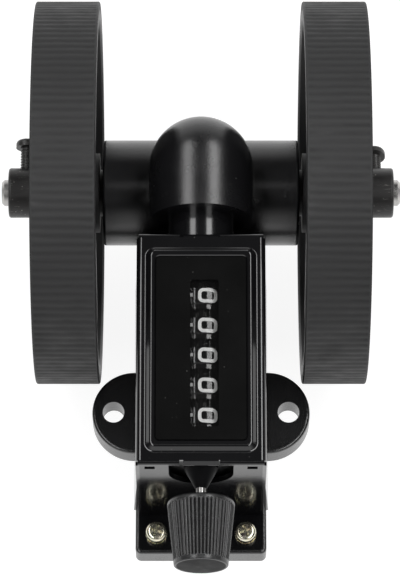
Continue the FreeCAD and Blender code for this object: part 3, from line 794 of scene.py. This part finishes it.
def strokesOf(figure):
    # centre lines in units of half the figure's width (x) and height (y); True marks a closed one
    w = figures["width"] / 2 - figures["stroke"] / 2
    h = figures["height"] / 2 - figures["stroke"] / 2
    if figure == 0:
        return [(roundedLoop(w, h, w * figures["cornerShare"]), True)]
    if figure == 1:
        return [([(-w * 0.6, h * 0.55), (w * 0.1, h), (w * 0.1, -h * 0.85)], False)]
    if figure == 2:
        return [(arcPoints(0, h - w, w, w, 160, -35) + [(-w, -h), (w, -h)], False)]
    if figure == 3:
        upper = arcPoints(0, h * 0.52, w * 0.9, h * 0.48, 150, -90)
        lower = arcPoints(0, -h * 0.48, w, h * 0.52, 90, -150)
        return [(upper, False), (lower, False)]
    if figure == 4:
        return [([(w * 0.45, -h), (w * 0.45, h), (-w, -h * 0.35), (w, -h * 0.35)], False)]
    if figure == 5:
        bowl = arcPoints(-w * 0.1, -h * 0.38, w * 1.05, h * 0.62, 120, -140)
        return [([(w * 0.8, h), (-w * 0.7, h), (-w * 0.75, h * 0.1)] + bowl, False)]
    if figure == 6:
        return [(arcPoints(0, -h * 0.42, w, h * 0.58, 0, 360)[:-1], True),
                (arcPoints(w * 0.5, -h * 0.2, w * 1.5, h * 1.2, 178, 95), False)]
    if figure == 7:
        return [([(-w, h), (w, h), (-w * 0.2, -h)], False)]
    if figure == 8:
        return [(arcPoints(0, h * 0.5, w * 0.85, h * 0.5, 0, 360)[:-1], True),
                (arcPoints(0, -h * 0.47, w, h * 0.53, 0, 360)[:-1], True)]
    return [(arcPoints(0, h * 0.42, w, h * 0.58, 0, 360)[:-1], True),
            (arcPoints(-w * 0.5, h * 0.2, w * 1.5, h * 1.2, -2, -85), False)]


def strokeOutline(points, closed, half):
    # the two sides of a stroke
    count = len(points)
    left = []
    right = []
    for i, p in enumerate(points):
        before = points[(i - 1) % count] if closed or i > 0 else p
        after = points[(i + 1) % count] if closed or i < count - 1 else p
        a = Vector(p) - Vector(before)
        b = Vector(after) - Vector(p)
        a = a.normalized() if a.length > nearZero else b.normalized()
        b = b.normalized() if b.length > nearZero else a
        middle = (a + b).normalized()
        side = Vector((-middle.y, middle.x)) * half / max(figures["leastMitre"], middle.dot(b))
        left.append(Vector(p) + side)
        right.append(Vector(p) - side)
    return left, right


def drumOf(wheel):
    # radius of the wheel's drum, and its middle along Y, from the mesh itself
    matrix = nodes[wheel].matrix_world
    points = [matrix @ v.co for v in nodes[wheel].data.vertices]
    radii = [math.hypot(p.x, p.z - shaftZ) for p in points]
    radius = max(radii)
    along = [p.y for p, r in zip(points, radii) if r > radius - figures["rimTolerance"]]
    return radius, (min(along) + max(along)) / 2


def withShortSteps(points, closed):
    dense = []
    for i, p in enumerate(points):
        dense.append(p)
        if i == len(points) - 1 and not closed:
            break
        q = points[(i + 1) % len(points)]
        cuts = int(math.dist(p, q) / figures["longestStep"])
        dense += [(p[0] + (q[0] - p[0]) * k / (cuts + 1), p[1] + (q[1] - p[1]) * k / (cuts + 1))
                  for k in range(1, cuts + 1)]
    return dense


def addFigures(place, spinZero):
    name = "number_wheel_" + str(place)
    drumRadius, centreY = drumOf(name)
    radius = drumRadius + figures["proud"]
    inner = drumRadius - figures["sink"]
    verts = []
    faces = []

    def onDrum(x, y, r, turn):
        # x runs along the drum towards +Y, y round it towards -X
        a = turn - y / drumRadius
        return (r * math.sin(a), centreY + x, shaftZ + r * math.cos(a))

    for figure in range(figures["perWheel"]):
        turn = spinZero - 2 * math.pi * figure / figures["perWheel"]
        for points, closed in strokesOf(figure):
            dense = withShortSteps(points, closed)
            left, right = strokeOutline(dense, closed, figures["stroke"] / 2)
            start = len(verts)
            for l, r in zip(left, right):
                verts.append(onDrum(l.x, l.y, radius, turn))
                verts.append(onDrum(r.x, r.y, radius, turn))
                verts.append(onDrum(l.x, l.y, inner, turn))
                verts.append(onDrum(r.x, r.y, inner, turn))
            count = len(left)
            for i in range(count if closed else count - 1):
                a = start + 4 * i
                b = start + 4 * ((i + 1) % count)
                faces += [(a, a + 1, b + 1, b), (a, b, b + 2, a + 2), (a + 1, a + 3, b + 3, b + 1),
                          (a + 2, b + 2, b + 3, a + 3)]
            if not closed:
                last = start + 4 * (count - 1)
                faces += [(start, start + 2, start + 3, start + 1), (last, last + 1, last + 3, last + 2)]
    body = "input" if place == 1 else name
    addPiece("figures_" + str(place), verts, faces, body, figureInk)


for place in range(1, figures["wheels"] + 1):
    addFigures(place, figures["turn"])
print("figures done")


# Camera: long lens, looking down on the counter face

view = {
    "elevation": math.radians(69.5),
    "distance": 1.1,
    "pixelsPerRadian": 3960.0,
    "imageHeight": 574,
    "axleInImage": (201.0, 193.0),
    "imageCentre": (200.0, 287.0),
    "sensor": 36.0,
    "nearest": 0.05,
    "farthest": 20,
}


def addCamera():
    up = Vector((0, math.sin(view["elevation"]), math.cos(view["elevation"])))
    back = Vector((0, -math.cos(view["elevation"]), math.sin(view["elevation"])))
    scale = view["distance"] / view["pixelsPerRadian"]
    aside = (view["axleInImage"][0] - view["imageCentre"][0]) * scale
    above = (view["imageCentre"][1] - view["axleInImage"][1]) * scale
    right = Vector((1, 0, 0))
    target = Vector((0, 0, axleZ)) - up * above - right * aside
    camera = bpy.data.cameras.new("camera")
    camera.sensor_fit = "VERTICAL"
    camera.sensor_height = view["sensor"]
    camera.lens = view["pixelsPerRadian"] / view["imageHeight"] * view["sensor"]
    camera.clip_start = view["nearest"]
    camera.clip_end = view["farthest"]
    obj = bpy.data.objects.new("camera", camera)
    bpy.context.scene.collection.objects.link(obj)
    turn = Matrix((right, up, back)).transposed().to_4x4()
    obj.matrix_world = Matrix.Translation(target + back * view["distance"]) @ turn
    bpy.context.scene.camera = obj
    return target


viewTarget = addCamera()


# Lights: two long soft boxes beside the zenith, lengthwise over the counter, and a pale horizon

lights = {
    "aside": math.radians(28),
    "towardsBack": math.radians(1),    # middle of the boxes, leaning from the zenith to +Y
    "distance": 1.0,
    "size": (0.32, 1.66),
    "power": {"left": 6.4, "right": 8.0},
    "card": {"elevation": math.radians(86), "size": (0.5, 0.10), "power": 0.12},
    "zenith": 0.04,
    "horizon": 0.85,
    "skyRange": (0.20, 0.62),    # height at which the pale sky turns dark
    "lengthRange": (0.1, 0.7),    # how narrow the pale sky is in front and behind
    "floor": 0.30,
    "floorGlow": 0.89,
    "floorRoughness": 0.9,
    "floorSpecular": 0.1,
    "floorHalf": 3.0,
    "floorDrop": 0.0005,
}


def addLamp(name, size, power, x, y, z):
    # a flat rectangular lamp that lies in the direction z from the target
    lamp = bpy.data.lights.new(name, "AREA")
    lamp.shape = "RECTANGLE"
    lamp.size, lamp.size_y = size
    lamp.energy = power
    obj = bpy.data.objects.new(name, lamp)
    bpy.context.scene.collection.objects.link(obj)
    turn = Matrix((x, y, z)).transposed().to_4x4()
    obj.matrix_world = Matrix.Translation(viewTarget + z * lights["distance"]) @ turn


def addBox(side, aside):
    lean = lights["towardsBack"]
    over = Vector((0, math.sin(lean), math.cos(lean)))
    along = Vector((0, math.cos(lean), -math.sin(lean)))
    z = over * math.cos(aside) + Vector((1, 0, 0)) * math.sin(aside)
    addLamp("box_" + side, lights["size"], lights["power"][side], along.cross(z), along, z)


def addCard():
    # a dim card across the object, nearly overhead: it gives the axle tube its band
    card = lights["card"]
    z = Vector((0, -math.cos(card["elevation"]), math.sin(card["elevation"])))
    x = Vector((1, 0, 0))
    addLamp("card", card["size"], card["power"], x, z.cross(x), z)


addCard()
addBox("left", -lights["aside"])
addBox("right", lights["aside"])


def addRoom():
    # a plain sky: pale low down in front and behind, dark overhead and at the sides
    world = bpy.data.worlds.new("room")
    bpy.context.scene.world = world
    world.use_nodes = True
    tree = world.node_tree
    tree.nodes.clear()
    split = tree.nodes.new("ShaderNodeSeparateXYZ")
    link(tree, tree.nodes.new("ShaderNodeTexCoord").outputs["Generated"], split.inputs[0])
    low = spread(tree, split.outputs["Z"], 1.0, 0.0, *lights["skyRange"])
    ySquared = multiply(tree, split.outputs["Y"], split.outputs["Y"])
    share = multiply(tree, low, spread(tree, ySquared, 0.0, 1.0, *lights["lengthRange"]))
    pale = (lights["horizon"],) * 3
    dark = (lights["zenith"],) * 3
    room = tree.nodes.new("ShaderNodeBackground")
    link(tree, mixColours(tree, share, dark, pale), room.inputs["Color"])
    out = tree.nodes.new("ShaderNodeOutputWorld")
    link(tree, room.outputs[0], out.inputs["Surface"])


addRoom()


def addFloor():
    # white paper: where it is seen, directly or mirrored, a glow lifts it, and shadows still show
    size = lights["floorHalf"]
    z = cadBox[0][2] - lights["floorDrop"]
    mesh = bpy.data.meshes.new("floor")
    mesh.from_pydata([(-size, -size, z), (size, -size, z), (size, size, z), (-size, size, z)], [],
                     [(0, 1, 2, 3)])
    floor = bpy.data.objects.new("floor", mesh)
    bpy.context.scene.collection.objects.link(floor)
    material, tree, shader = newMaterial("floorPaper")
    shader.inputs["Base Color"].default_value = (lights["floor"],) * 3 + (1,)
    shader.inputs["Roughness"].default_value = lights["floorRoughness"]
    shader.inputs["Specular IOR Level"].default_value = lights["floorSpecular"]
    glow = tree.nodes.new("ShaderNodeEmission")
    path = tree.nodes.new("ShaderNodeLightPath")
    seen = path.outputs["Is Camera Ray"]
    for ray in ("Is Glossy Ray", "Is Transmission Ray"):
        seen = combine(tree, "MAXIMUM", seen, path.outputs[ray])
    link(tree, multiply(tree, seen, lights["floorGlow"]), glow.inputs["Strength"])
    both = tree.nodes.new("ShaderNodeAddShader")
    link(tree, shader.outputs[0], both.inputs[0])
    link(tree, glow.outputs[0], both.inputs[1])
    link(tree, both.outputs[0], tree.nodes["Material Output"].inputs["Surface"])
    mesh.materials.append(material)


addFloor()
bpy.context.scene.view_settings.view_transform = "Standard"
print("camera, lights and floor done")
